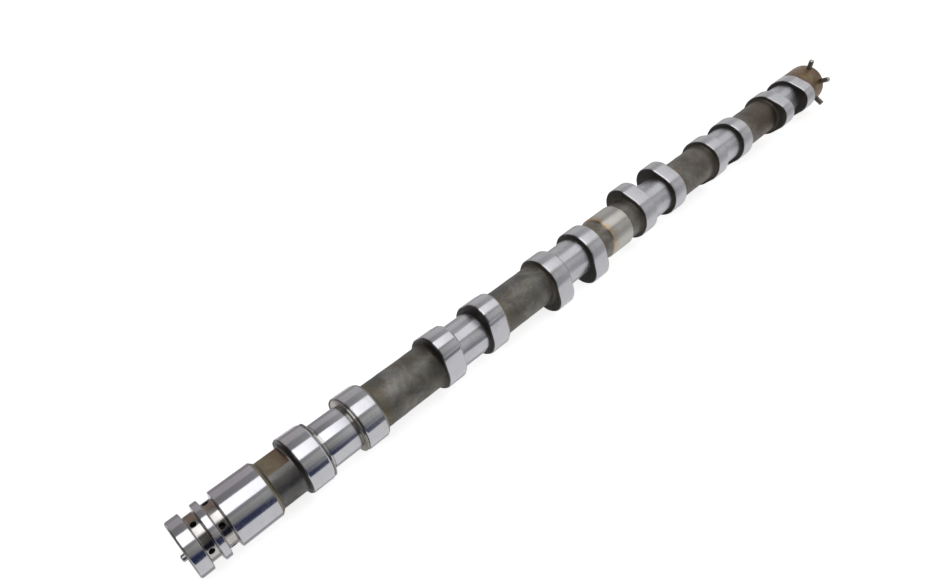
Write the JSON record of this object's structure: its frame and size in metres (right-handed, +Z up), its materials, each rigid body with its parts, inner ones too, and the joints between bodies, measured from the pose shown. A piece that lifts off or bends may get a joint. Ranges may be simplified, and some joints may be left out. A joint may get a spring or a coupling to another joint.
{
  "type": "camshaft",
  "caption": "Overhead camshaft of a large twin-cam inline-six, with paired lobes, an oil-fed nose for variable timing and trigger pins at the rear.",
  "frame": {"origin": "centre of the nose face, on the shaft's axis", "axes": "+X along the shaft from the nose to the rear end, +Z up as the shaft lies at rest"},
  "size_m": [0.6728, 0.0475, 0.0493],
  "materials": {
    "shaft_iron": "ground bright on lobes, journals and nose, rough as cast between the lobes",
    "dowel_steel": "ground",
    "pin_steel": "dull, with bright tips"
  },
  "bodies": {
    "root": {"camshaft": "shaft_iron", "nose_dowel": "dowel_steel", "trigger_pin_1": "pin_steel", "trigger_pin_2": "pin_steel", "trigger_pin_3": "pin_steel"}
  },
  "joints": []
}
